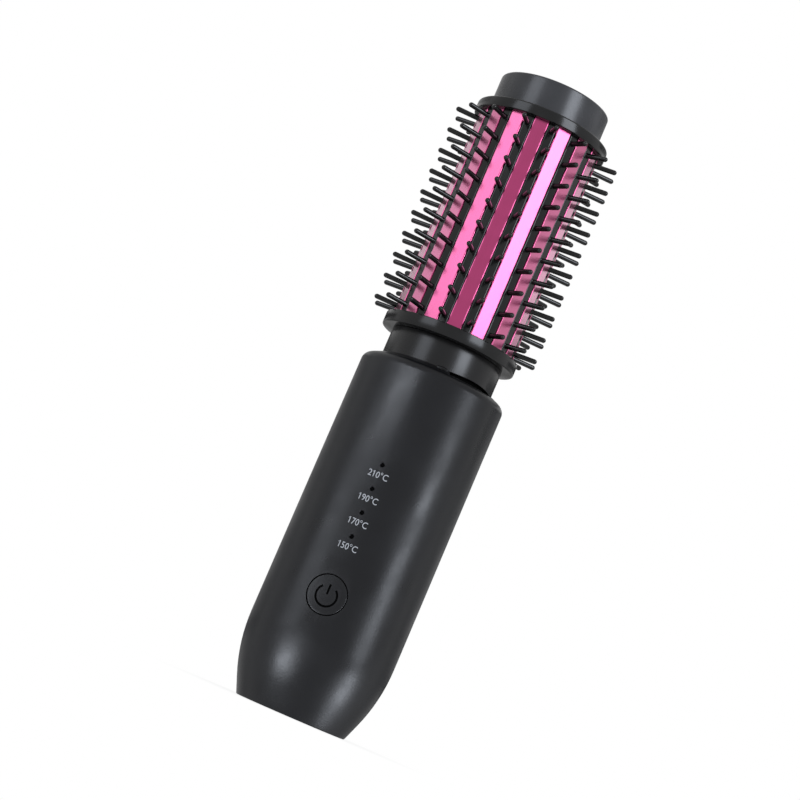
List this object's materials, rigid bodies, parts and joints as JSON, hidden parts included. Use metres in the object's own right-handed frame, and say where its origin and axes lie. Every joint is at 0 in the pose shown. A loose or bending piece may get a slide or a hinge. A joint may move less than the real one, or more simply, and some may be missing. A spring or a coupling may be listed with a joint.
{
  "type": "cordless hot brush",
  "caption": "Round cordless hot brush with a heated barrel, bristle strips, a battery handle and one power button.",
  "frame": {"origin": "centre of the base, on the surface that it stands on", "axes": "+Z along the barrel towards the end cap, -Y towards the side with the power button"},
  "size_m": [0.0494, 0.0494, 0.1876],
  "materials": {
    "handle_black": "satin soft-touch coat",
    "base_black": "matt",
    "neck_black": "semi-gloss",
    "flange_black": "satin",
    "cap_grey": "semi-gloss",
    "pink_coating": "glossy coloured coat",
    "bristle_black": "semi-gloss",
    "cell_blue": "shrink sleeve",
    "nickel": "bright",
    "steel": "plated",
    "board_green": "lacquered",
    "switch_black": "matt",
    "clear_plastic": "smoked clear",
    "frame_white": "moulded",
    "ceramic": "ceramic plate in film",
    "bare_aluminium": "as extruded",
    "sensor_bead": "glass bead in varnish",
    "lead_sleeve": "silicone sleeve",
    "lamp_chip": "moulded"
  },
  "bodies": {
    "handle": {"back_shell": "handle_black", "barrel": "pink_coating", "base_cap": "base_black", "battery_cell_left": "cell_blue", "battery_cell_right": "cell_blue", "board_screws": "steel", "bristle_strip_01": "bristle_black", "bristle_strip_02": "bristle_black", "bristle_strip_03": "bristle_black", "bristle_strip_04": "bristle_black", "bristle_strip_05": "bristle_black", "bristle_strip_06": "bristle_black", "bristle_strip_07": "bristle_black", "bristle_strip_08": "bristle_black", "bristle_strip_09": "bristle_black", "bristle_strip_10": "bristle_black", "bristle_strip_11": "bristle_black", "bristle_strip_12": "bristle_black", "bristle_strip_13": "bristle_black", "bristle_strip_14": "bristle_black", "bristle_strip_15": "bristle_black", "bristle_strip_16": "bristle_black", "cell_link": "nickel", "cell_tab_left": "nickel", "cell_tab_right": "nickel", "charge_board": "board_green", "charging_port": "steel", "control_board": "board_green", "end_cap": "cap_grey", "front_shell": "handle_black", "heat_spreader_back": "bare_aluminium", "heat_spreader_front": "bare_aluminium", "heater_lead_left": "lead_sleeve", "heater_lead_right": "lead_sleeve", "heater_sensor": "sensor_bead", "inner_frame": "frame_white", "lamp_chip_1": "lamp_chip", "lamp_chip_2": "lamp_chip", "lamp_chip_3": "lamp_chip", "lamp_chip_4": "lamp_chip", "light_guide": "clear_plastic", "lower_flange": "flange_black", "neck_collar": "neck_black", "neck_screws": "steel", "ptc_heater_left": "ceramic", "ptc_heater_right": "ceramic", "tact_switch": "switch_black", "thermal_fuse": "steel", "tie_nut": "steel", "tie_rod": "steel", "upper_flange": "flange_black"},
    "button": {"power_button": "handle_black", "switch_plunger": "switch_black"}
  },
  "joints": [
    {"name": "power_button_press", "type": "slide", "parent": "handle", "child": "button", "axis": [0, 1, 0], "range_m": [0, 0.0004], "stiffness_N_per_m": 1800, "springref_m": -0.0005}
  ]
}
